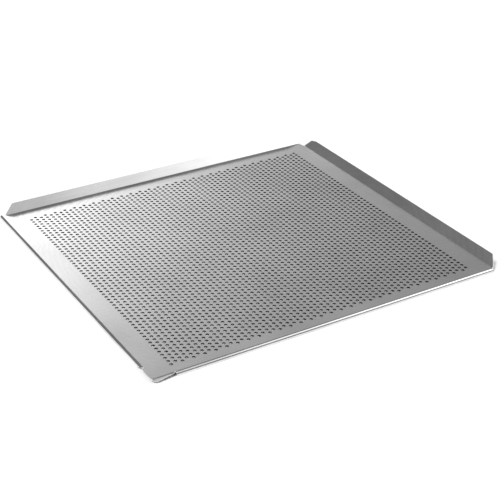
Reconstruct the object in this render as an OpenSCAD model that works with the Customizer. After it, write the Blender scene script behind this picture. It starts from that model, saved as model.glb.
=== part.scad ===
// Perforated bakery tray, folded from one sheet of aluminium.
// Seen from above: the two lips hang down along the front (-Y) and the left side (-X),
// the two flanges lean up and out along the back (+Y) and the right side (+X).
// The origin is below the middle of the tray, at the height of the lips' lower edges.

/* [Sheet] */
// Overall length, from the side lip to the tip of the side flange
tray_l = 351; // [250:1:600]
// Width, from the outer face of the front lip to the tip of the back flange
tray_w = 325; // [250:1:600]
// Thickness of the sheet
sheet_t = 1.2; // [0.8:0.1:2]

/* [Perforation] */
// Diameter of one hole
hole_d = 3; // [2:0.1:4]
// Distance between the holes of one column, front to back
row_pitch = 5.15; // [4.6:0.05:8]
// Distance between neighbouring columns
column_pitch = 5.07; // [4.6:0.05:8]
// Plain strip between the side lip and the middle of the first column
side_land = 22.8; // [10:0.1:40]
// Plain strip between the middle of the last column and the side flange, at least
flange_land = 20; // [10:0.1:40]
// Plain strip between the front lip and the middle of the first hole
front_land = 12.6; // [8:0.1:40]
// Plain strip between the middle of the last hole and the back flange, at least
back_land = 17.6; // [8:0.1:40]

/* [Flanges] */
// Height of both flanges above the top of the base
flange_rise = 7.5; // [5:0.5:14]
// Angle that a flange is bent up from the base
flange_bend = 45; // [30:1:75]
// Radius inside a flange's fold
flange_fold_r = 1; // [0.5:0.1:2]
// Angle that the ends of a flange are cut back by
flange_end_cut = 45; // [0:1:60]
// Distance from the side lip to the left end of the back flange
back_flange_start = 5.2; // [3:0.1:20]
// Distance from the right end of the back flange to the side flange's fold
back_flange_stop = 1.5; // [1:0.1:10]
// Distance from the rear end of the side flange to the back flange's fold
side_flange_stop = 7.2; // [4:0.1:20]
// Height above the fold at which the cut ends of a flange start to slant
end_cut_start = 0.5; // [0.2:0.1:2]
// How far the rear end of the side flange leans forward over its height
side_flange_lean = 4.2; // [0:0.1:8]
// Length of the clipped corner on the rear end of the side flange
clip_l = 7; // [1:0.1:10]
// Height of the same clipped corner
clip_h = 1.6; // [0.5:0.1:3]

/* [Lips] */
// Depth of both lips below the top of the base
lip_drop = 3.5; // [3.4:0.1:8]
// Radius inside a lip's fold
lip_fold_r = 1.3; // [0.5:0.1:1.3]
// Length over which the front end of the side lip tapers away
lip_taper = 7.5; // [1:0.1:12]
// How far the side lip runs past the back flange's fold
lip_overrun = 3.3; // [0:0.1:3.5]

/* [Corner tab] */
// Length of the tab along the front, from the side lip's outer face
tab_l = 19.6; // [12:0.1:30]
// Length of the flat corner along the side, from the front lip's outer face
tab_side = 19.2; // [10:0.1:30]
// Reach of the tab past its fold, at its rounded corner
tab_reach = 3.3; // [3:0.1:6]
// Reach of the tab past its fold, at its inner end
tab_root = 1.6; // [0.5:0.1:3]
// Angle that the tab droops by
tab_bend = 30; // [5:1:60]
// Radius of the tab's outer corner
tab_corner_r = 3; // [1:0.1:5]
// Gap between the tab and the front lip
tab_gap = 1.4; // [0.5:0.1:3]
// Gap between the flat corner and the end of the side lip
side_gap = 1; // [0.5:0.1:3]

/* [Hidden] */

$fn = 48;
base_top = lip_drop;
// Flat facets along each quarter turn of a fold or of the tab's corner
facets = 12;
// How far a cutter reaches past what it cuts
past = 1;

// Outer radius and straight length of a lip, and radius of a flange's outer face
lip_r = lip_fold_r + sheet_t;
lip_leaf = lip_drop - lip_r;
flange_r = flange_fold_r + sheet_t;

// Straight length of a flange, and how far it stands out from the edge of the base
flange_leaf = (flange_rise - flange_fold_r * (1 - cos(flange_bend))) / sin(flange_bend);
flange_out = flange_r * sin(flange_bend) + flange_leaf * cos(flange_bend);
end_inset = (flange_leaf - end_cut_start) * tan(flange_end_cut);

// Edges of the flat base, where each fold starts. The tab stands out past the front lip,
// so the origin is half of that further forward.
tab_proud = max(0, tab_reach - lip_r);
left = lip_r - tray_l / 2;
front = lip_r - (tray_w - tab_proud) / 2;
right = tray_l / 2 - flange_out;
back = (tray_w + tab_proud) / 2 - flange_out;
face_left = left - lip_r;
face_front = front - lip_r;

// Ends of the folded edges
tab_end = face_left + tab_l;
lip_start = tab_end + tab_gap;
corner_end = face_front + tab_side;
side_lip_start = corner_end + side_gap;
side_lip_stop = back + lip_overrun;
back_start = face_left + back_flange_start;
back_stop = right - back_flange_stop;
side_stop = back - side_flange_stop;
rear_tab_w = back_flange_start - side_gap;

// Holes: every second column is moved back by half a row
first_x = face_left + side_land;
first_y = face_front + front_land;
columns = floor((right - flange_land - first_x) / column_pitch) + 1;
rows = floor((back - back_land - row_pitch / 2 - first_y) / row_pitch) + 1;

// The base is one flat sheet. It is drawn in four bands, cut between columns of holes.
bands = 4;
function band_column(band) = round(band * columns / bands);
function band_x(band) = first_x + (band_column(band) - 0.5) * column_pitch;

// A point of a fold's profile, at one radius and one angle of the turn. Outwards is +X,
// and [0, 0] is the upper edge of the base. A positive bend goes up, a negative one down.
function fold_point(r, angle, bend, fold_r) =
    bend > 0
        ? [r * sin(angle), fold_r - r * cos(angle)]
        : [r * sin(angle), r * cos(angle) - fold_r - sheet_t];

// Fold along one edge, from x1 to x2, and the flat leaf after it, of the given reach
module folded_edge(x1, x2, bend, fold_r, reach) {
    outer_r = fold_r + sheet_t;
    turn = abs(bend);
    steps = ceil(turn / 90 * facets);
    leaf_end = reach * [cos(bend), sin(bend)];
    translate([x1, 0, 0])
        rotate([90, 0, 90])
            linear_extrude(x2 - x1)
                polygon(concat(
                    [for (i = [0 : steps]) fold_point(outer_r, turn * i / steps, bend, fold_r)],
                    [fold_point(outer_r, turn, bend, fold_r) + leaf_end],
                    [fold_point(fold_r, turn, bend, fold_r) + leaf_end],
                    [for (i = [steps : -1 : 0]) fold_point(fold_r, turn * i / steps, bend, fold_r)]
                ));
}

// A cutter drawn on a flange's flat leaf, with Y = 0 where the leaf leaves the fold
module flange_cut() {
    start = fold_point(flange_fold_r, flange_bend, flange_bend, flange_fold_r);
    translate([0, start[0], start[1]])
        rotate([flange_bend, 0, 0])
            linear_extrude(4 * sheet_t, center = true)
                children();
}

// Places its children on one edge of the base: outwards is +Y, the base's top is z = 0
module on_edge(turn, distance) {
    rotate([0, 0, turn])
        translate([0, distance, base_top])
            children();
}

module base_outline() {
    polygon([
        [face_left, front],
        [right, front],
        [right, side_stop],
        [back_stop, back],
        [face_left + rear_tab_w, back],
        [face_left + rear_tab_w, side_lip_stop],
        [left, side_lip_stop],
        [left, corner_end],
        [face_left, corner_end]
    ]);
}

module holes(band) {
    for (column = [band_column(band) : band_column(band + 1) - 1])
        for (row = [0 : rows - 1])
            translate([
                first_x + column * column_pitch,
                first_y + (row + (column % 2) / 2) * row_pitch
            ])
                circle(d = hole_d);
}

module base_band(band) {
    from_x = band == 0 ? face_left : band_x(band);
    to_x = band == bands - 1 ? right : band_x(band + 1);
    translate([0, 0, base_top - sheet_t])
        linear_extrude(sheet_t)
            difference() {
                intersection() {
                    base_outline();
                    translate([from_x, face_front])
                        square([to_x - from_x, tray_w]);
                }
                holes(band);
            }
}

module base_left() {
    color("silver")
        base_band(0);
}

module base_mid_left() {
    color("silver")
        base_band(1);
}

module base_mid_right() {
    color("silver")
        base_band(2);
}

module base_right() {
    color("silver")
        base_band(3);
}

module back_flange() {
    color("gainsboro")
        on_edge(0, back)
            difference() {
                folded_edge(back_start, back_stop, flange_bend, flange_fold_r, flange_leaf);
                flange_cut()
                    slanted_end(back_stop);
                flange_cut()
                    mirror([1, 0])
                        slanted_end(-back_start);
            }
}

module side_flange() {
    color("darkgray")
        on_edge(-90, right)
            difference() {
                folded_edge(-side_stop, -front, flange_bend, flange_fold_r, flange_leaf);
                flange_cut()
                    slanted_end(-front);
                flange_cut()
                    clipped_end(-side_stop);
            }
}

// What a flange loses at its end that looks along +X
module slanted_end(x) {
    polygon([
        [x, end_cut_start],
        [x - end_inset, flange_leaf],
        [x - end_inset, flange_leaf + past],
        [x + past, flange_leaf + past],
        [x + past, end_cut_start]
    ]);
}

// What the side flange loses at its rear end, which looks along -X
module clipped_end(x) {
    polygon([
        [x, end_cut_start],
        [x + side_flange_lean, flange_leaf - clip_h],
        [x + side_flange_lean + clip_l, flange_leaf],
        [x + side_flange_lean + clip_l, flange_leaf + past],
        [x - past, flange_leaf + past],
        [x - past, end_cut_start]
    ]);
}

module front_lip() {
    color("whitesmoke")
        on_edge(180, -front)
            folded_edge(-right, -lip_start, -90, lip_fold_r, lip_leaf);
}

// The front end of this lip is cut on a slant, from the lower edge up to the top of the fold
module side_lip() {
    color("lightgray")
        on_edge(90, -left)
            difference() {
                folded_edge(side_lip_start, side_lip_stop, -90, lip_fold_r, lip_leaf);
                taper_cut();
            }
}

module taper_cut() {
    rotate([90, 0, 0])
        linear_extrude(4 * lip_r, center = true)
            polygon([
                [side_lip_start - past, -lip_drop - past],
                [side_lip_start + lip_taper * (1 + past / lip_drop), -lip_drop - past],
                [side_lip_start, 0],
                [side_lip_start - past, 0]
            ]);
}

module corner_tab() {
    color("lightsteelblue")
        on_edge(180, -front)
            difference() {
                folded_edge(-tab_end, -face_left, -tab_bend, lip_fold_r, 2 * tab_reach);
                translate([0, 0, -3 * tab_reach])
                    linear_extrude(6 * tab_reach)
                        tab_offcut();
            }
}

// Seen from above, what is cut away past the tab's slanted front edge and its round corner
module tab_offcut() {
    corner_r = min(tab_corner_r, tab_reach - 0.1);
    corner_x = -face_left - corner_r;
    slope = (tab_reach - tab_root) / (corner_x + tab_end);
    polygon(concat(
        [[-tab_end - past, tab_root - past * slope]],
        [
            for (i = [facets : -1 : 0])
                [corner_x, tab_reach - corner_r] + corner_r * [cos(90 * i / facets), sin(90 * i / facets)]
        ],
        [
            [-face_left + past, tab_reach - corner_r],
            [-face_left + past, 3 * tab_reach],
            [-tab_end - past, 3 * tab_reach]
        ]
    ));
}

base_left();
base_mid_left();
base_mid_right();
base_right();
back_flange();
side_flange();
front_lip();
side_lip();
corner_tab();
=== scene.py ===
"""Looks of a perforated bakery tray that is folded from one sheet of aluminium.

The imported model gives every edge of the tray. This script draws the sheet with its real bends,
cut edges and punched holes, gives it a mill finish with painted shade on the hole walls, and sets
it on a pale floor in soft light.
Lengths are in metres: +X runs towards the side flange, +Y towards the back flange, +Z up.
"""

import logging
import math
from collections.abc import Callable
from dataclasses import dataclass
from enum import Enum
from typing import ClassVar

import bmesh
import bpy
from mathutils import Matrix, Vector


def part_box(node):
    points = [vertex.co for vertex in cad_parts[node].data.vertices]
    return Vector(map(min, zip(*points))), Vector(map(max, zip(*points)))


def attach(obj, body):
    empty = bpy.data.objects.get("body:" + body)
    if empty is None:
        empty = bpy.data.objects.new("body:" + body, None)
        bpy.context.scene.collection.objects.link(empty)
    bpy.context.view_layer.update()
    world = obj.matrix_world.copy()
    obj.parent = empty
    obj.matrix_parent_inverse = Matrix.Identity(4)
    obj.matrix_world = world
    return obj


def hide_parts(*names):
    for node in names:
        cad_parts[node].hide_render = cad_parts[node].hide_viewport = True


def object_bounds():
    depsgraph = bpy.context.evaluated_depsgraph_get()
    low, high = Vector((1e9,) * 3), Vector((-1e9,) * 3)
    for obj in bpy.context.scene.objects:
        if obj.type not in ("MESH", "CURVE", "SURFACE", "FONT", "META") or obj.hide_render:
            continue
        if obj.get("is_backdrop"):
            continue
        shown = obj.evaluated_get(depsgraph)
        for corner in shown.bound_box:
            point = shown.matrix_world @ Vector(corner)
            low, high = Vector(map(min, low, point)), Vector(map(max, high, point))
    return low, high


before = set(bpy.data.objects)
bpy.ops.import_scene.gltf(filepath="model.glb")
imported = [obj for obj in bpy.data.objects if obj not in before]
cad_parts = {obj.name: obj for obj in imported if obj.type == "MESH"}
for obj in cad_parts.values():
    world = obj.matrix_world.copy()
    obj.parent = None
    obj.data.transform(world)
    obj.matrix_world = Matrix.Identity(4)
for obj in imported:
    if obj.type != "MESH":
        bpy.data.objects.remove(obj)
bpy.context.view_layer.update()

log = logging.getLogger("baking_tray")

MM = 0.001
BODY = "root"
WELD = 0.002 * MM
MICRONS = 1e6


class Side(Enum):
    """One side of the flat base, as seen from above."""

    FRONT = (0, -1)
    BACK = (0, 1)
    LEFT = (-1, 0)
    RIGHT = (1, 0)

    def place(self, along: float, edge: float, out: float, height: float) -> Vector:
        """Find a point of an edge that is folded on this side.

        Args:
            along: Place along the side, in X or in Y.
            edge: Where the base ends and the fold starts.
            out: Distance outwards from there.
            height: Height of the point.

        Returns:
            The point in the tray's own frame.
        """
        x_out, y_out = self.value
        if x_out:
            return Vector((edge + x_out * out, along, height))
        return Vector((along, edge + y_out * out, height))


@dataclass(frozen=True)
class SheetEdges:
    """Where the flat base and its folds end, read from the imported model."""

    thickness: float
    top: float
    lip_drop: float
    face_left: float
    left: float
    right: float
    front: float
    face_front: float
    back: float
    tab_stop: float
    tab_tip: float
    lip_start: float
    side_lip_start: float
    side_lip_stop: float
    back_start: float
    back_stop: float
    side_stop: float
    flange_top: float
    band_edges: tuple[float, ...]

    @staticmethod
    def from_frame() -> "SheetEdges":
        """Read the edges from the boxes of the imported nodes.

        Returns:
            The edges, in metres.
        """
        base_lo, base_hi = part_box("base_left")
        middle_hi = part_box("base_mid_left")[1]
        right_lo, right_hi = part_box("base_right")
        lip_lo, lip_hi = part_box("front_lip")
        side_lip_lo, side_lip_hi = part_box("side_lip")
        tab_lo, tab_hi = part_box("corner_tab")
        back_lo, back_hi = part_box("back_flange")
        side_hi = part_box("side_flange")[1]
        return SheetEdges(
            thickness=base_hi.z - base_lo.z,
            top=base_hi.z,
            lip_drop=base_hi.z - lip_lo.z,
            face_left=base_lo.x,
            left=side_lip_hi.x,
            right=right_hi.x,
            front=base_lo.y,
            face_front=lip_lo.y,
            back=middle_hi.y,
            tab_stop=tab_hi.x,
            tab_tip=tab_lo.y,
            lip_start=lip_lo.x,
            side_lip_start=side_lip_lo.y,
            side_lip_stop=side_lip_hi.y,
            back_start=back_lo.x,
            back_stop=back_hi.x,
            side_stop=side_hi.y,
            flange_top=back_hi.z,
            band_edges=(base_hi.x, middle_hi.x, right_lo.x),
        )


@dataclass(frozen=True)
class Perforation:
    """The pattern of punched holes: straight columns, every second one moved by half a row."""

    first_x: float
    first_y: float
    columns: int
    rows: int
    column_pitch: float = 5.07 * MM
    row_pitch: float = 5.15 * MM
    hole_radius: float = 1.5 * MM
    side_land: ClassVar[float] = 22.8 * MM
    flange_land: ClassVar[float] = 20 * MM
    front_land: ClassVar[float] = 12.6 * MM
    back_land: ClassVar[float] = 17.6 * MM

    @property
    def x_start(self) -> float:
        """Left edge of the punched window."""
        return self.first_x - self.column_pitch / 2

    @property
    def x_stop(self) -> float:
        """Right edge of the punched window."""
        return self.x_start + self.columns * self.column_pitch

    @property
    def y_start(self) -> float:
        """Front edge of the punched window."""
        return self.first_y - self.row_pitch / 2

    @property
    def y_stop(self) -> float:
        """Rear edge of the punched window, half a row past the last hole of an odd column."""
        return self.first_y + self.rows * self.row_pitch

    @staticmethod
    def on_sheet(edges: SheetEdges) -> "Perforation":
        """Lay the pattern out on a sheet, as many holes as the plain margins leave room for.

        Args:
            edges: The sheet's edges.

        Returns:
            The pattern.
        """
        pitch_x, pitch_y = Perforation.column_pitch, Perforation.row_pitch
        first_x = edges.face_left + Perforation.side_land
        first_y = edges.face_front + Perforation.front_land
        room_x = edges.right - Perforation.flange_land - first_x
        room_y = edges.back - Perforation.back_land - pitch_y / 2 - first_y
        columns = math.floor(room_x / pitch_x) + 1
        rows = math.floor(room_y / pitch_y) + 1
        return Perforation(first_x, first_y, columns, rows)


@dataclass(frozen=True)
class FoldProfile:
    """Section of a folded edge along the sheet's upper face: an arc, then a flat leaf."""

    turn: float
    radius: float
    leaf: float
    steps: int

    @property
    def arc(self) -> float:
        """Length of the arc."""
        return self.radius * abs(self.turn)

    def at(self, run: float) -> tuple[float, float]:
        """Find a point of the section.

        Args:
            run: Distance along the sheet from where the fold starts.

        Returns:
            Distance outwards and height above the base.
        """
        angle = min(run, self.arc) / self.radius
        rest = max(0.0, run - self.arc)
        out = self.radius * math.sin(angle) + rest * math.cos(self.turn)
        rise = self.radius * (1 - math.cos(angle)) + rest * math.sin(abs(self.turn))
        return out, math.copysign(rise, self.turn)

    def runs(self, *more: float) -> list[float]:
        """List the rows of points across the section: the arc's, then the given ones."""
        return [self.arc * i / self.steps for i in range(self.steps + 1)] + list(more)


@dataclass(frozen=True)
class MillAluminium:
    """Mill-finish aluminium: pale grey, with a fine lengthwise grain and faint rubbing marks."""

    name: str = "mill_aluminium"
    colour: tuple[float, float, float] = (0.80, 0.80, 0.80)
    worn_colour: tuple[float, float, float] = (0.66, 0.66, 0.665)
    roughness: float = 0.17
    gloss_span: tuple[float, float] = (-0.03, 0.08)
    grain_scale: tuple[float, float, float] = (25, 1100, 1100)
    grain_share: float = 0.25
    grain_depth: float = 0.01 * MM
    cloud_scale: tuple[float, float, float] = (14, 14, 14)
    swirl_scale: float = 60
    swirl_share: float = 0.4
    wave_scale: tuple[float, float, float] = (9, 9, 9)
    wave_depth: float = 0.15 * MM

    def material(self) -> bpy.types.Material:
        """Build the finish as a node material on Object coordinates.

        Returns:
            The material.
        """
        material = bpy.data.materials.new(self.name)
        material.use_nodes = True
        tree = material.node_tree
        shader = tree.nodes["Principled BSDF"]
        shader.inputs["Metallic"].default_value = 1.0
        place = tree.nodes.new("ShaderNodeTexCoord").outputs["Object"]
        grain = self.noise(tree, place, self.grain_scale, detail=2)
        cloud = self.noise(tree, place, self.cloud_scale, detail=5)
        swirl = self._swirl(tree, place)
        tone = self._mix(tree, cloud, grain, self.grain_share)
        self.ramp_to(tree, tone, self.worn_colour, self.colour, shader.inputs["Base Color"])
        gloss = self._mix(tree, cloud, swirl, self.swirl_share)
        spread = tree.nodes.new("ShaderNodeMapRange")
        for name, change in zip(("To Min", "To Max"), self.gloss_span):
            spread.inputs[name].default_value = self.roughness + change
        tree.links.new(gloss, spread.inputs["Value"])
        tree.links.new(spread.outputs["Result"], shader.inputs["Roughness"])
        fine = self.bump(tree, grain, 0.12, self.grain_depth, None)
        waves = self.noise(tree, place, self.wave_scale, detail=1)
        wavy = self.bump(tree, waves, 0.25, self.wave_depth, fine)
        tree.links.new(wavy, shader.inputs["Normal"])
        return material

    @staticmethod
    def noise(
        tree: bpy.types.NodeTree,
        place: bpy.types.NodeSocket,
        scale: tuple[float, ...],
        detail: float,
    ) -> bpy.types.NodeSocket:
        """Add a stretched noise.

        Args:
            tree: The material's node tree.
            place: The coordinates that it follows.
            scale: How fine it is along X, Y and Z, per metre.
            detail: How many finer layers it has.

        Returns:
            The noise's value.
        """
        mapping = tree.nodes.new("ShaderNodeMapping")
        mapping.inputs["Scale"].default_value = scale
        noise = tree.nodes.new("ShaderNodeTexNoise")
        noise.inputs["Scale"].default_value = 1.0
        noise.inputs["Detail"].default_value = detail
        tree.links.new(place, mapping.inputs["Vector"])
        tree.links.new(mapping.outputs["Vector"], noise.inputs["Vector"])
        return noise.outputs["Fac"]

    def _swirl(
        self, tree: bpy.types.NodeTree, place: bpy.types.NodeSocket
    ) -> bpy.types.NodeSocket:
        """Add faint rubbed arcs.

        Args:
            tree: The material's node tree.
            place: The coordinates that they follow.

        Returns:
            The arcs' value.
        """
        wave = tree.nodes.new("ShaderNodeTexWave")
        wave.wave_type = "RINGS"
        wave.rings_direction = "SPHERICAL"
        wave.inputs["Scale"].default_value = self.swirl_scale
        wave.inputs["Distortion"].default_value = 9
        wave.inputs["Detail"].default_value = 3
        wave.inputs["Detail Scale"].default_value = 0.6
        tree.links.new(place, wave.inputs["Vector"])
        return wave.outputs["Fac"]

    @staticmethod
    def _mix(
        tree: bpy.types.NodeTree,
        first: bpy.types.NodeSocket,
        second: bpy.types.NodeSocket,
        share: float,
    ) -> bpy.types.NodeSocket:
        """Blend two values.

        Args:
            tree: The material's node tree.
            first: One value.
            second: The other value.
            share: The second value's share.

        Returns:
            The blend.
        """
        mix = tree.nodes.new("ShaderNodeMix")
        mix.inputs["Factor"].default_value = share
        tree.links.new(first, mix.inputs["A"])
        tree.links.new(second, mix.inputs["B"])
        return mix.outputs["Result"]

    @staticmethod
    def ramp_to(
        tree: bpy.types.NodeTree,
        value: bpy.types.NodeSocket,
        low: tuple[float, ...],
        high: tuple[float, ...],
        target: bpy.types.NodeSocket,
    ) -> None:
        """Turn a value into a colour between two tones.

        Args:
            tree: The material's node tree.
            value: The value.
            low: The tone where the value is low.
            high: The tone where it is high.
            target: The socket that takes the colour.
        """
        ramp = tree.nodes.new("ShaderNodeValToRGB")
        ramp.color_ramp.elements[0].position = 0.25
        ramp.color_ramp.elements[0].color = (*low, 1)
        ramp.color_ramp.elements[1].position = 0.6
        ramp.color_ramp.elements[1].color = (*high, 1)
        tree.links.new(value, ramp.inputs["Fac"])
        tree.links.new(ramp.outputs["Color"], target)

    @staticmethod
    def bump(
        tree: bpy.types.NodeTree,
        height: bpy.types.NodeSocket,
        strength: float,
        depth: float,
        below: bpy.types.NodeSocket | None,
    ) -> bpy.types.NodeSocket:
        """Add a bump of a real depth.

        Args:
            tree: The material's node tree.
            height: The height, from 0 to 1.
            strength: How strongly it shows.
            depth: What a height of 1 stands for, in metres.
            below: The normal that it is added to, if there is one.

        Returns:
            The new normal.
        """
        bump = tree.nodes.new("ShaderNodeBump")
        bump.inputs["Strength"].default_value = strength
        bump.inputs["Distance"].default_value = depth
        tree.links.new(height, bump.inputs["Height"])
        if below is not None:
            tree.links.new(below, bump.inputs["Normal"])
        return bump.outputs["Normal"]


@dataclass(frozen=True)
class HoleWallPaintedShade:
    """Sheared metal inside the holes, torn by the punch and rougher than the sheet, with painted
    shade: its tones are far darker than the sheet so that the holes look shadowed.
    """

    name: str = "hole_wall_painted_shade"
    # Painted shade: both tones are kept far darker than the sheet so that the holes look shadowed;
    # the tear noise only varies between them.
    colour: tuple[float, float, float] = (0.09, 0.09, 0.093)
    torn_shade_colour: tuple[float, float, float] = (0.03, 0.03, 0.031)
    roughness: float = 0.6
    tear_scale: tuple[float, float, float] = (3200, 3200, 300)
    tear_depth: float = 0.02 * MM

    def material(self) -> bpy.types.Material:
        """Build the finish, with upright tear marks.

        Returns:
            The material.
        """
        material = bpy.data.materials.new(self.name)
        material.use_nodes = True
        tree = material.node_tree
        shader = tree.nodes["Principled BSDF"]
        shader.inputs["Metallic"].default_value = 1.0
        shader.inputs["Roughness"].default_value = self.roughness
        place = tree.nodes.new("ShaderNodeTexCoord").outputs["Object"]
        tears = MillAluminium.noise(tree, place, self.tear_scale, detail=2)
        # Painted shade: the dark wall colour stands in for the shade inside the holes.
        colour = shader.inputs["Base Color"]
        MillAluminium.ramp_to(tree, tears, self.torn_shade_colour, self.colour, colour)
        bump = MillAluminium.bump(tree, tears, 0.3, self.tear_depth, None)
        tree.links.new(bump, shader.inputs["Normal"])
        return material


def stand_in(piece: bpy.types.Object, *nodes: str) -> None:
    """Tie a finished piece to the tray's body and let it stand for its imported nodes.

    Args:
        piece: The finished piece, a plain mesh.
        nodes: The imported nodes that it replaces.
    """
    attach(piece, BODY)
    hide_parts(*nodes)
    log.info("%s: %d faces, stands for %s", piece.name, len(piece.data.polygons), ", ".join(nodes))


def new_object(name: str, mesh: bpy.types.Mesh) -> bpy.types.Object:
    """Add a mesh to the scene as an object at the origin.

    Args:
        name: The object's name.
        mesh: Its mesh.

    Returns:
        The object.
    """
    piece = bpy.data.objects.new(name, mesh)
    bpy.context.scene.collection.objects.link(piece)
    return piece


def bake_modifiers(piece: bpy.types.Object) -> None:
    """Turn a piece's modifiers into a plain mesh and remove them.

    Args:
        piece: The piece.
    """
    bpy.context.view_layer.update()
    evaluated = piece.evaluated_get(bpy.context.evaluated_depsgraph_get())
    mesh = bpy.data.meshes.new_from_object(evaluated)
    piece.modifiers.clear()
    old = piece.data
    piece.data = mesh
    bpy.data.meshes.remove(old)
    mesh.name = piece.name


@dataclass
class HoleTile:
    """One hole in its own rectangle of sheet, with a rolled upper edge."""

    pattern: Perforation
    edges: SheetEdges
    sides: int = 16
    rolled_edge: float = 0.08 * MM

    def mesh(self) -> bpy.types.Mesh:
        """Build the tile around the origin, at the height of the sheet.

        Returns:
            The tile's mesh.
        """
        shape = bmesh.new()
        radius = self.pattern.hole_radius
        top, bottom = self.edges.top, self.edges.top - self.edges.thickness
        rim = self._circle(shape, radius + self.rolled_edge, top)
        wall_top = self._circle(shape, radius, top - self.rolled_edge)
        wall_bottom = self._circle(shape, radius, bottom)
        self._ring(shape, self._border(shape, top), rim)
        self._band(shape, rim, wall_top)
        self._band(shape, wall_top, wall_bottom)
        self._ring(shape, self._border(shape, bottom), wall_bottom, upwards=False)
        mesh = bpy.data.meshes.new("hole_tile")
        shape.to_mesh(mesh)
        shape.free()
        return mesh

    def _circle(
        self, shape: bmesh.types.BMesh, radius: float, height: float
    ) -> list[bmesh.types.BMVert]:
        """Add a circle of points.

        Args:
            shape: The tile so far.
            radius: The circle's radius.
            height: Its height.

        Returns:
            The points, in order.
        """
        points = []
        for i in range(self.sides):
            angle = 2 * math.pi * i / self.sides
            place = (radius * math.cos(angle), radius * math.sin(angle), height)
            points.append(shape.verts.new(place))
        return points

    def _border(self, shape: bmesh.types.BMesh, height: float) -> list[bmesh.types.BMVert]:
        """Add the tile's corners and the middles of its sides, where the next tiles meet it.

        Args:
            shape: The tile so far.
            height: The height of these points.

        Returns:
            The points, in order.
        """
        half_x, half_y = self.pattern.column_pitch / 2, self.pattern.row_pitch / 2
        steps = [(1, 0), (1, 1), (0, 1), (-1, 1), (-1, 0), (-1, -1), (0, -1), (1, -1)]
        return [shape.verts.new((x * half_x, y * half_y, height)) for x, y in steps]

    def _ring(
        self,
        shape: bmesh.types.BMesh,
        border: list[bmesh.types.BMVert],
        circle: list[bmesh.types.BMVert],
        upwards: bool = True,
    ) -> None:
        """Fill the flat sheet between the border and the hole.

        Args:
            shape: The tile so far.
            border: The tile's border.
            circle: The hole's edge.
            upwards: Whether the sheet looks up.
        """
        share = self.sides // len(border)
        for i, corner in enumerate(border):
            arc = [circle[(share * i + k) % self.sides] for k in range(share, -1, -1)]
            loop = [corner, border[(i + 1) % len(border)], *arc]
            shape.faces.new(loop if upwards else loop[::-1])

    def _band(
        self,
        shape: bmesh.types.BMesh,
        upper: list[bmesh.types.BMVert],
        lower: list[bmesh.types.BMVert],
    ) -> None:
        """Join two circles with smooth faces that look into the hole.

        Args:
            shape: The tile so far.
            upper: The upper circle.
            lower: The lower circle.
        """
        for i in range(self.sides):
            k = (i + 1) % self.sides
            shape.faces.new((upper[i], upper[k], lower[k], lower[i])).smooth = True


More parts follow.
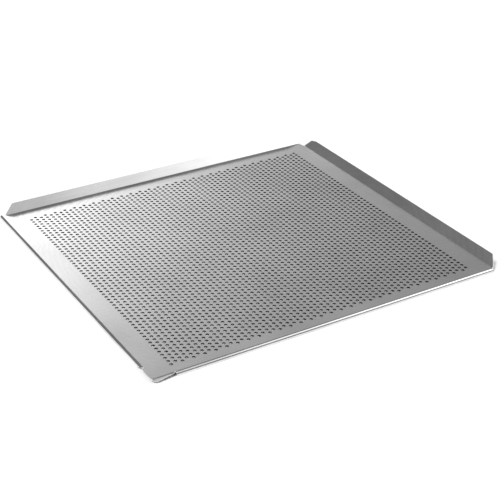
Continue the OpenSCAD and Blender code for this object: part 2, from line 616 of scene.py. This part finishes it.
class HoleGrid:
    """Geometry Nodes tree that sets a tile on every hole of one band."""

    # Faces whose normal's upward part is below this, the hole walls and the rolled hole edges, get
    # the wall's painted shade, which also dims the rolled edges' glints.
    wall_limit: float = 0.9

    def __init__(self, sheet: bpy.types.Material, punched: bpy.types.Material) -> None:
        """Build the tree.

        Args:
            sheet: The finish of the sheet's faces.
            punched: The material of the hole walls, dark with painted shade.
        """
        self.tree = bpy.data.node_groups.new("hole_grid", "GeometryNodeTree")
        self.sockets: dict[str, str] = {}
        self._add_input("Geometry", "NodeSocketGeometry")
        self._add_output("Geometry", "NodeSocketGeometry")
        for name in ("Columns", "Rows", "First column"):
            self._add_input(name, "NodeSocketInt")
        for name in ("Column pitch", "Row pitch"):
            self._add_input(name, "NodeSocketFloat")
        self._add_input("First hole", "NodeSocketVector")
        self.finishes = {"Sheet finish": sheet, "Wall painted shade": punched}
        for name in self.finishes:
            self._add_input(name, "NodeSocketMaterial")
        self._build()

    def _add_input(self, name: str, kind: str) -> None:
        """Add a named input and keep its identifier."""
        socket = self.tree.interface.new_socket(name, in_out="INPUT", socket_type=kind)
        self.sockets[name] = socket.identifier

    def _add_output(self, name: str, kind: str) -> None:
        """Add a named output."""
        self.tree.interface.new_socket(name, in_out="OUTPUT", socket_type=kind)

    def _math(self, operation: str, first: object, second: object) -> bpy.types.NodeSocket:
        """Add a sum of two values.

        Args:
            operation: What is done to them.
            first: A number or a socket.
            second: A number, a socket, or None where the sum takes one value.

        Returns:
            The result.
        """
        node = self.tree.nodes.new("ShaderNodeMath")
        node.operation = operation
        for socket, value in zip(node.inputs, (first, second)):
            if isinstance(value, bpy.types.NodeSocket):
                self.tree.links.new(value, socket)
            elif value is not None:
                socket.default_value = value
        return node.outputs[0]

    def _build(self) -> None:
        """Lay out the nodes: points by index, a tile on each, then one plain mesh."""
        nodes, links = self.tree.nodes, self.tree.links
        given = nodes.new("NodeGroupInput").outputs
        result = nodes.new("NodeGroupOutput").inputs
        index = nodes.new("GeometryNodeInputIndex").outputs["Index"]
        column = self._math("FLOOR", self._math("DIVIDE", index, given["Rows"]), None)
        row = self._math("MODULO", index, given["Rows"])
        odd = self._math("MODULO", self._math("ADD", column, given["First column"]), 2)
        shifted = self._math("ADD", row, self._math("MULTIPLY", odd, 0.5))
        place = nodes.new("ShaderNodeCombineXYZ")
        links.new(self._math("MULTIPLY", column, given["Column pitch"]), place.inputs["X"])
        links.new(self._math("MULTIPLY", shifted, given["Row pitch"]), place.inputs["Y"])
        moved = nodes.new("ShaderNodeVectorMath")
        links.new(place.outputs["Vector"], moved.inputs[0])
        links.new(given["First hole"], moved.inputs[1])
        points = nodes.new("GeometryNodePoints")
        links.new(self._math("MULTIPLY", given["Columns"], given["Rows"]), points.inputs["Count"])
        links.new(moved.outputs["Vector"], points.inputs["Position"])
        tiles = nodes.new("GeometryNodeInstanceOnPoints")
        links.new(points.outputs[0], tiles.inputs["Points"])
        links.new(given["Geometry"], tiles.inputs["Instance"])
        real = nodes.new("GeometryNodeRealizeInstances")
        links.new(tiles.outputs["Instances"], real.inputs["Geometry"])
        sheet = nodes.new("GeometryNodeSetMaterial")
        links.new(real.outputs["Geometry"], sheet.inputs["Geometry"])
        links.new(given["Sheet finish"], sheet.inputs["Material"])
        # Painted shade: faces far from level, the hole walls and the rolled hole edges, take the
        # dark wall material.
        split = nodes.new("ShaderNodeSeparateXYZ")
        links.new(nodes.new("GeometryNodeInputNormal").outputs["Normal"], split.inputs["Vector"])
        level = self._math("ABSOLUTE", split.outputs["Z"], None)
        upright = self._math("LESS_THAN", level, self.wall_limit)
        walls = nodes.new("GeometryNodeSetMaterial")
        links.new(sheet.outputs["Geometry"], walls.inputs["Geometry"])
        links.new(upright, walls.inputs["Selection"])
        links.new(given["Wall painted shade"], walls.inputs["Material"])
        links.new(walls.outputs["Geometry"], result["Geometry"])

    def lay(self, piece: bpy.types.Object, pattern: Perforation, first: int, columns: int) -> None:
        """Repeat a piece's tile over some columns and leave the result as its plain mesh.

        Args:
            piece: The object that holds the tile.
            pattern: The pattern of holes.
            first: Number of the band's first column.
            columns: How many columns the band has.
        """
        modifier = piece.modifiers.new("holes", "NODES")
        modifier.node_group = self.tree
        values = {
            "Columns": columns,
            "Rows": pattern.rows,
            "First column": first,
            "Column pitch": pattern.column_pitch,
            "Row pitch": pattern.row_pitch,
            "First hole": (pattern.first_x + first * pattern.column_pitch, pattern.first_y, 0.0),
            **self.finishes,
        }
        for name, value in values.items():
            modifier[self.sockets[name]] = value
        bake_modifiers(piece)


@dataclass
class PerforatedField:
    """The punched part of the base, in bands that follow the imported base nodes."""

    edges: SheetEdges
    pattern: Perforation
    band_nodes: tuple[str, ...] = ("base_left", "base_mid_left", "base_mid_right", "base_right")

    def build(self, sheet: bpy.types.Material, punched: bpy.types.Material) -> None:
        """Build and dress every band.

        Args:
            sheet: The finish of the sheet's faces.
            punched: The material of the hole walls, dark with painted shade.
        """
        grid = HoleGrid(sheet, punched)
        tile = HoleTile(self.pattern, self.edges)
        stops = [self._column_at(x) for x in self.edges.band_edges]
        firsts = [0, *stops]
        for node, first, stop in zip(self.band_nodes, firsts, [*stops, self.pattern.columns]):
            piece = new_object(node.replace("base", "punched_band"), tile.mesh())
            piece.data.materials.append(sheet)
            grid.lay(piece, self.pattern, first, stop - first)
            self._close(piece.data, first, stop)
            stand_in(piece, node)

    def _column_at(self, x: float) -> int:
        """Number of the first column right of a band's edge."""
        return round((x - self.pattern.x_start) / self.pattern.column_pitch)

    def _close(self, mesh: bpy.types.Mesh, first: int, stop: int) -> None:
        """Weld the tiles, fill the short column ends and wall the band in.

        Args:
            mesh: The band's mesh.
            first: Number of its first column.
            stop: Number of the next band's first column.
        """
        shape = bmesh.new()
        shape.from_mesh(mesh)
        for column in range(first, stop):
            self._fill_column_end(shape, column)
        bmesh.ops.remove_doubles(shape, verts=shape.verts, dist=WELD)
        self._wall_in(shape)
        shape.to_mesh(mesh)
        shape.free()

    def _fill_column_end(self, shape: bmesh.types.BMesh, column: int) -> None:
        """Add the plain half tile at the front of an odd column or at the rear of an even one.

        Args:
            shape: The band so far.
            column: Number of the column.
        """
        pattern = self.pattern
        centre = pattern.first_x + column * pattern.column_pitch
        half_x, half_y = pattern.column_pitch / 2, pattern.row_pitch / 2
        low = pattern.y_start if column % 2 else pattern.y_stop - half_y
        outline = [(-half_x, low), (0, low), (half_x, low)]
        outline += [(x, y + half_y) for x, y in reversed(outline)]
        top = self.edges.top
        for height in (top, top - self.edges.thickness):
            corners = [shape.verts.new((centre + x, y, height)) for x, y in outline]
            shape.faces.new(corners if height == top else corners[::-1])

    def _wall_in(self, shape: bmesh.types.BMesh) -> None:
        """Join the upper and the lower border.

        Args:
            shape: The band so far, without doubles.
        """
        below = {}
        border = [edge for edge in shape.edges if edge.is_boundary]
        for edge in border:
            for vert in edge.verts:
                below.setdefault(self._key(vert), {})[vert.co.z > self.edges.top - WELD] = vert
        for edge in border:
            if all(vert.co.z > self.edges.top - WELD for vert in edge.verts):
                loop = edge.link_loops[0]
                start, end = loop.vert, loop.link_loop_next.vert
                under = [below[self._key(vert)][False] for vert in (start, end)]
                shape.faces.new((end, start, *under))

    @staticmethod
    def _key(vert: bmesh.types.BMVert) -> tuple[int, int]:
        """Plan position as a whole number of microns, the same above and below."""
        return round(vert.co.x * MICRONS), round(vert.co.y * MICRONS)


class Face(Enum):
    """Kind of a face of the rim, kept as its material number until the shading is set."""

    FLAT = 0
    CURVED = 1
    WORN = 2


@dataclass
class FoldedRim:
    """The plain margins of the base with all that is folded from them."""

    edges: SheetEdges
    pattern: Perforation
    lip_radius: float = 1.3 * MM
    flange_radius: float = 1 * MM
    flange_turn: float = math.radians(45)
    end_cut_start: float = 0.5 * MM
    end_cut: float = math.radians(45)
    rear_lean: float = 4.2 * MM
    clip_length: float = 7 * MM
    clip_height: float = 1.6 * MM
    lip_taper: float = 7.5 * MM
    side_gap: float = 1 * MM
    tab_turn: float = math.radians(30)
    tab_root: float = 1.6 * MM
    tab_corner: float = 5.7 * MM
    edge_wear: float = 0.16 * MM
    corner_steps: int = 7
    sharp_from: float = math.radians(50)
    smooth_up_to: float = math.radians(35)

    def build(self, material: bpy.types.Material) -> None:
        """Build the rim as one sheet with thickness, and dress it.

        Args:
            material: The finish of the sheet.
        """
        shape = bmesh.new()
        self._margins(shape)
        self._flanges(shape)
        self._lips(shape)
        self._tab(shape)
        bmesh.ops.remove_doubles(shape, verts=shape.verts, dist=WELD)
        bmesh.ops.recalc_face_normals(shape, faces=shape.faces)
        if max(shape.faces, key=lambda face: face.calc_area()).normal.z < 0:
            bmesh.ops.reverse_faces(shape, faces=shape.faces)
        mesh = bpy.data.meshes.new("folded_rim")
        shape.to_mesh(mesh)
        shape.free()
        rim = new_object("folded_rim", mesh)
        self._thicken(rim)
        self._wear_edges(rim.data)
        self._smooth(rim.data)
        nodes = ("back_flange", "side_flange", "front_lip", "side_lip", "corner_tab")
        rim.data.materials.append(material)
        stand_in(rim, *nodes)

    @property
    def _rear_tab_stop(self) -> float:
        """Where the flat behind the side lip ends, short of the back flange."""
        return self.edges.back_start - self.side_gap

    @property
    def _corner_stop(self) -> float:
        """Where the flat front corner ends, short of the side lip."""
        return self.edges.side_lip_start - self.side_gap

    def _corner_x(self, angle: float) -> float:
        """Place along the front of a point on the tab's round corner."""
        return self.edges.face_left + self.tab_corner * (1 - math.cos(angle))

    def _x_lines(self) -> list[float]:
        """Lines across the flat margins, where any outline or fold has a corner.

        Returns:
            Their places along X, in order.
        """
        edges, pattern = self.edges, self.pattern
        quarter = math.pi / 2
        steps = [i for i in range(self.corner_steps + 1) if i != 1]
        corner = [self._corner_x(quarter * i / self.corner_steps) for i in steps]
        lines = [edges.left, self._rear_tab_stop, edges.back_start, edges.tab_stop]
        lines += [edges.lip_start, pattern.x_start, pattern.x_stop, edges.back_stop, edges.right]
        return sorted({round(x, 7) for x in corner + lines})

    def _y_lines(self) -> list[float]:
        """Lines along the flat margins, where any outline or fold has a corner.

        Returns:
            Their places along Y, in order.
        """
        edges, pattern = self.edges, self.pattern
        lines = [edges.front, self._corner_stop, edges.side_lip_start, pattern.y_start]
        lines += [pattern.y_stop, edges.side_stop, edges.back, edges.side_lip_stop]
        return sorted({round(y, 7) for y in lines})

    def _on_sheet(self, x: float, y: float) -> bool:
        """Tell whether a point lies on the plain margins.

        Args:
            x: Its place along X.
            y: Its place along Y.

        Returns:
            True on the margins, False in the punched window or off the sheet.
        """
        edges, pattern = self.edges, self.pattern
        if pattern.x_start < x < pattern.x_stop and pattern.y_start < y < pattern.y_stop:
            return False
        if x < edges.left:
            return y < self._corner_stop
        if y > edges.back:
            return x < self._rear_tab_stop
        return True

    def _margins(self, shape: bmesh.types.BMesh) -> None:
        """Lay out the flat margins, with the cut corner between the two flanges.

        Args:
            shape: The sheet so far.
        """
        edges = self.edges
        xs, ys = self._x_lines(), self._y_lines()
        for x0, x1 in zip(xs, xs[1:]):
            for y0, y1 in zip(ys, ys[1:]):
                if not self._on_sheet((x0 + x1) / 2, (y0 + y1) / 2):
                    continue
                corners = [(x0, y0), (x1, y0), (x1, y1), (x0, y1)]
                if (x0 + x1) / 2 > edges.back_stop and (y0 + y1) / 2 > edges.side_stop:
                    corners.remove((x1, y1))
                shape.faces.new([shape.verts.new((x, y, edges.top)) for x, y in corners])

    def _fold(
        self,
        shape: bmesh.types.BMesh,
        side: Side,
        edge: float,
        lines: list[float],
        runs: list[float],
        profile: FoldProfile,
        start: Callable[[float], float],
        stop: Callable[[float], float],
    ) -> None:
        """Add one folded edge to the sheet's upper face.

        Args:
            shape: The sheet so far.
            side: The side that it is folded on.
            edge: Where the fold starts.
            lines: Points along the side that the margin has too, from one end to the other.
            runs: Rows of points across the fold.
            profile: The fold's section.
            start: How far the first end stands back at a row.
            stop: How far the last end stands back at a row.
        """
        rows = []
        for run in runs:
            out, rise = profile.at(run)
            low, high = lines[0] + start(run), lines[-1] - stop(run)
            inner = len(lines) - 1
            places = [
                min(max(x, low + i * MM), high - (inner - i) * MM) for i, x in enumerate(lines)
            ]
            places[0], places[-1] = low, high
            height = self.edges.top + rise
            rows.append([shape.verts.new(side.place(x, edge, out, height)) for x in places])
        for row, (near, far) in enumerate(zip(rows, rows[1:])):
            kind = Face.CURVED if row < profile.steps else Face.FLAT
            for i in range(len(lines) - 1):
                face = shape.faces.new((near[i], near[i + 1], far[i + 1], far[i]))
                face.material_index = kind.value

    @staticmethod
    def _between(lines: list[float], low: float, high: float) -> list[float]:
        """Pick the lines from one place to another, both included."""
        return [x for x in lines if low - WELD < x < high + WELD]

    def _flanges(self, shape: bmesh.types.BMesh) -> None:
        """Fold up the back flange and the side flange.

        Args:
            shape: The sheet so far.
        """
        edges = self.edges
        height = edges.flange_top - edges.top
        fold_rise = self.flange_radius * (1 - math.cos(self.flange_turn))
        leaf = (height - fold_rise) / math.sin(self.flange_turn)
        profile = FoldProfile(self.flange_turn, self.flange_radius, leaf, steps=6)
        cut_at, top = profile.arc + self.end_cut_start, profile.arc + leaf

        def slanted(run: float) -> float:
            return max(0.0, run - cut_at) * math.tan(self.end_cut)

        def clipped(run: float) -> float:
            clip_at = top - self.clip_height
            lean = self.rear_lean * max(0.0, min(run, clip_at) - cut_at) / (clip_at - cut_at)
            return lean + self.clip_length * max(0.0, run - clip_at) / self.clip_height

        back = self._between(self._x_lines(), edges.back_start, edges.back_stop)
        runs = profile.runs(cut_at, top)
        self._fold(shape, Side.BACK, edges.back, back, runs, profile, slanted, slanted)
        side = self._between(self._y_lines(), edges.front, edges.side_stop)
        runs = profile.runs(cut_at, top - self.clip_height, top)
        self._fold(shape, Side.RIGHT, edges.right, side, runs, profile, slanted, clipped)

    def _lips(self, shape: bmesh.types.BMesh) -> None:
        """Fold down the front lip and the side lip.

        Args:
            shape: The sheet so far.
        """
        edges = self.edges
        outer = self.lip_radius + edges.thickness
        profile = FoldProfile(-math.pi / 2, outer, edges.lip_drop - outer, steps=12)
        runs = profile.runs(profile.arc + profile.leaf)

        def square(_run: float) -> float:
            return 0.0

        def tapered(run: float) -> float:
            return -profile.at(run)[1] / edges.lip_drop * self.lip_taper

        front = self._between(self._x_lines(), edges.lip_start, edges.right)
        self._fold(shape, Side.FRONT, edges.front, front, runs, profile, square, square)
        side = self._between(self._y_lines(), edges.side_lip_start, edges.side_lip_stop)
        self._fold(shape, Side.LEFT, edges.left, side, runs, profile, tapered, square)

    def _tab(self, shape: bmesh.types.BMesh) -> None:
        """Droop the corner tab, with its round corner and its slanted front edge.

        Args:
            shape: The sheet so far.
        """
        edges = self.edges
        profile = FoldProfile(-self.tab_turn, self.lip_radius + edges.thickness, 0.0, steps=4)
        full = edges.front - edges.tab_tip
        arc_out = profile.at(profile.arc)[0]
        steps = 5
        rows = []
        lines = self._between(self._x_lines(), edges.face_left, edges.tab_stop)
        for i in range(steps + 1):
            row = []
            for x in lines:
                out = min(full * i / steps, self._tab_reach(x, full))
                if out < arc_out:
                    run = profile.radius * math.asin(out / profile.radius)
                else:
                    run = profile.arc + (out - arc_out) / math.cos(self.tab_turn)
                height = edges.top + profile.at(run)[1]
                row.append(shape.verts.new(Side.FRONT.place(x, edges.front, out, height)))
            rows.append(row)
        for near, far in zip(rows, rows[1:]):
            for i in range(len(lines) - 1):
                face = shape.faces.new((near[i], near[i + 1], far[i + 1], far[i]))
                face.material_index = Face.CURVED.value

    def _tab_reach(self, x: float, full: float) -> float:
        """How far the tab reaches past its fold at one place along the front.

        Args:
            x: The place.
            full: The reach where the round corner ends.

        Returns:
            The reach, nothing at the tray's left edge.
        """
        corner_x = self.edges.face_left + self.tab_corner
        if x < corner_x:
            aside = (corner_x - x) / self.tab_corner
            return full * math.sqrt(max(0.0, 1 - aside * aside))
        share = (x - corner_x) / (self.edges.tab_stop - corner_x)
        return full + (self.tab_root - full) * share

    def _thicken(self, rim: bpy.types.Object) -> None:
        """Give the sheet its thickness below its upper face."""
        solidify = rim.modifiers.new("thickness", "SOLIDIFY")
        solidify.thickness = self.edges.thickness
        solidify.offset = -1
        bake_modifiers(rim)

    def _wear_edges(self, mesh: bpy.types.Mesh) -> None:
        """Round the cut edges of the sheet slightly, except around the punched window.

        Args:
            mesh: The sheet with its thickness.
        """
        shape = bmesh.new()
        shape.from_mesh(mesh)
        sharp = [
            edge
            for edge in shape.edges
            if len(edge.link_faces) == 2
            and edge.calc_face_angle() > self.sharp_from
            and not self._at_window(edge)
        ]
        bmesh.ops.bevel(
            shape,
            geom=sharp,
            offset=self.edge_wear,
            segments=3,
            affect="EDGES",
            profile=0.5,
            material=Face.WORN.value,
        )
        shape.to_mesh(mesh)
        shape.free()

    def _at_window(self, edge: bmesh.types.BMEdge) -> bool:
        """Tell whether an edge belongs to the punched window.

        Args:
            edge: The edge.

        Returns:
            True where the punched bands meet the rim.
        """
        pattern, room = self.pattern, 10 * WELD
        middle = (edge.verts[0].co + edge.verts[1].co) / 2
        in_x = pattern.x_start - room < middle.x < pattern.x_stop + room
        in_y = pattern.y_start - room < middle.y < pattern.y_stop + room
        return in_x and in_y

    def _smooth(self, mesh: bpy.types.Mesh) -> None:
        """Shade the folds and the worn edges smooth, and the flat faces exactly flat.

        Args:
            mesh: The sheet with its worn edges.
        """
        shape = bmesh.new()
        shape.from_mesh(mesh)
        normals = []
        for face in shape.faces:
            if face.material_index == Face.FLAT.value:
                normals += [face.normal.copy() for _vert in face.verts]
            else:
                normals += [self._soft_normal(face, vert) for vert in face.verts]
        for face in shape.faces:
            face.material_index = 0
            face.smooth = True
        shape.to_mesh(mesh)
        shape.free()
        mesh.normals_split_custom_set(normals)

    def _soft_normal(self, face: bmesh.types.BMFace, vert: bmesh.types.BMVert) -> Vector:
        """Find the normal at a corner of a curved face, in line with any flat face beside it.

        Args:
            face: The curved face.
            vert: Its corner.

        Returns:
            The normal.
        """
        limit = math.cos(self.smooth_up_to)
        beside = [other for other in vert.link_faces if other.normal.dot(face.normal) > limit]
        flat = [other for other in beside if other.material_index == Face.FLAT.value]
        total = Vector()
        for other in flat or beside:
            total += other.normal * other.calc_area()
        return total.normalized()


@dataclass(frozen=True)
class Glow:
    """A soft patch of light in the surroundings, as a big diffused lamp gives."""

    azimuth: float
    elevation: float
    strength: float
    focus: float

    def add_to(
        self, tree: bpy.types.NodeTree, look: bpy.types.NodeSocket, total: bpy.types.NodeSocket
    ) -> bpy.types.NodeSocket:
        """Add the patch to the surroundings' light.

        Args:
            tree: The surroundings' node tree.
            look: The direction that is looked in.
            total: The light so far.

        Returns:
            The light with this patch.
        """
        aimed = tree.nodes.new("ShaderNodeVectorMath")
        aimed.operation = "DOT_PRODUCT"
        aimed.inputs[1].default_value = direction(self.azimuth, self.elevation)
        tree.links.new(look, aimed.inputs[0])
        value = aimed.outputs["Value"]
        value = self._step(tree, "MAXIMUM", value, 0.0)
        value = self._step(tree, "POWER", value, self.focus)
        value = self._step(tree, "MULTIPLY", value, self.strength)
        return self._step(tree, "ADD", value, total)

    @staticmethod
    def _step(
        tree: bpy.types.NodeTree, operation: str, value: bpy.types.NodeSocket, other: object
    ) -> bpy.types.NodeSocket:
        """Add one sum.

        Args:
            tree: The surroundings' node tree.
            operation: What is done.
            value: The first value.
            other: The second one, a number or a socket.

        Returns:
            The result.
        """
        node = tree.nodes.new("ShaderNodeMath")
        node.operation = operation
        tree.links.new(value, node.inputs[0])
        if isinstance(other, bpy.types.NodeSocket):
            tree.links.new(other, node.inputs[1])
        else:
            node.inputs[1].default_value = other
        return node.outputs[0]


def direction(azimuth: float, elevation: float) -> Vector:
    """Turn two angles into a direction.

    Args:
        azimuth: Degrees round from +Y towards +X.
        elevation: Degrees above the floor.

    Returns:
        The direction, one long.
    """
    around, above = math.radians(azimuth), math.radians(elevation)
    level = math.cos(above)
    return Vector((math.sin(around) * level, math.cos(around) * level, math.sin(above)))


@dataclass
class Studio:
    """Pale floor, soft light and the camera."""

    floor_size: float = 40.0
    floor_drop: float = 0.02 * MM
    floor_colour: tuple[float, float, float, float] = (0.9, 0.9, 0.9, 1)
    lens: float = 90.36
    sensor_width: float = 36
    farthest_view: float = 50
    aim: tuple[float, float, float] = (-0.0035, -0.0221, 0.0035)
    distance: float = 1.1484
    azimuth: float = -31.37
    elevation: float = 28.97
    roll: float = 0.52
    even_light: float = 0.19
    glows: tuple[Glow, ...] = (
        Glow(azimuth=14, elevation=20, strength=2.8, focus=60),
        Glow(azimuth=112, elevation=42, strength=2.8, focus=18),
        Glow(azimuth=31.5, elevation=27, strength=0.26, focus=40),
    )
    key_angles: tuple[float, float] = (-100, 58)
    key_spread: float = math.radians(30)
    key_strength: float = 2.9

    def build(self) -> None:
        """Add everything around the tray."""
        self._floor()
        self._world()
        self._lamp()
        self._camera()

    def _floor(self) -> None:
        """Add a plain matt floor just below the tray's lips."""
        mesh = bpy.data.meshes.new("floor")
        half = self.floor_size / 2
        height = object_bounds()[0].z - self.floor_drop
        corners = [(-half, -half), (half, -half), (half, half), (-half, half)]
        mesh.from_pydata([(x, y, height) for x, y in corners], [], [(0, 1, 2, 3)])
        floor = new_object("floor", mesh)
        paint = bpy.data.materials.new("floor_paint")
        paint.use_nodes = True
        shader = paint.node_tree.nodes["Principled BSDF"]
        shader.inputs["Base Color"].default_value = self.floor_colour
        shader.inputs["Roughness"].default_value = 0.9
        shader.inputs["Specular IOR Level"].default_value = 0.1
        mesh.materials.append(paint)
        floor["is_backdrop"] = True

    def _world(self) -> None:
        """Surround the tray with even light and a few soft patches."""
        world = bpy.data.worlds.new("studio")
        world.use_nodes = True
        tree = world.node_tree
        look = tree.nodes.new("ShaderNodeTexCoord").outputs["Generated"]
        even = tree.nodes.new("ShaderNodeValue")
        even.outputs[0].default_value = self.even_light
        total = even.outputs[0]
        for glow in self.glows:
            total = glow.add_to(tree, look, total)
        tree.links.new(total, tree.nodes["Background"].inputs["Strength"])
        tree.nodes["Background"].inputs["Color"].default_value = (1, 1, 1, 1)
        bpy.context.scene.world = world

    def _lamp(self) -> None:
        """Add one wide, far lamp that keeps the floor evenly pale."""
        data = bpy.data.lights.new("key_softbox", "SUN")
        data.angle = self.key_spread
        data.energy = self.key_strength
        lamp = bpy.data.objects.new("key_softbox", data)
        bpy.context.scene.collection.objects.link(lamp)
        away = direction(*self.key_angles)
        lamp.location = Vector(self.aim) + away
        lamp.rotation_euler = away.to_track_quat("Z", "Y").to_euler()

    def _camera(self) -> None:
        """Add the camera, aimed from its angles around the tray."""
        data = bpy.data.cameras.new("camera")
        data.lens = self.lens
        data.sensor_width = self.sensor_width
        data.clip_end = self.farthest_view
        camera = bpy.data.objects.new("camera", data)
        bpy.context.scene.collection.objects.link(camera)
        back = direction(180 - self.azimuth, self.elevation)
        turn = back.to_track_quat("Z", "Y").to_matrix().to_4x4()
        roll = Matrix.Rotation(math.radians(self.roll), 4, "Z")
        place = Matrix.Translation(Vector(self.aim) + back * self.distance)
        camera.matrix_world = place @ turn @ roll
        bpy.context.scene.camera = camera


def main() -> None:
    """Build the tray's pieces in order, then the studio around them."""
    logging.basicConfig(level=logging.INFO, format="%(name)s: %(message)s")
    edges = SheetEdges.from_frame()
    pattern = Perforation.on_sheet(edges)
    log.info("%d columns of %d holes", pattern.columns, pattern.rows)
    sheet = MillAluminium().material()
    punched = HoleWallPaintedShade().material()
    PerforatedField(edges, pattern).build(sheet, punched)
    FoldedRim(edges, pattern).build(sheet)
    Studio().build()
    bpy.context.scene.view_settings.view_transform = "Standard"


if __name__ == "__main__":
    main()
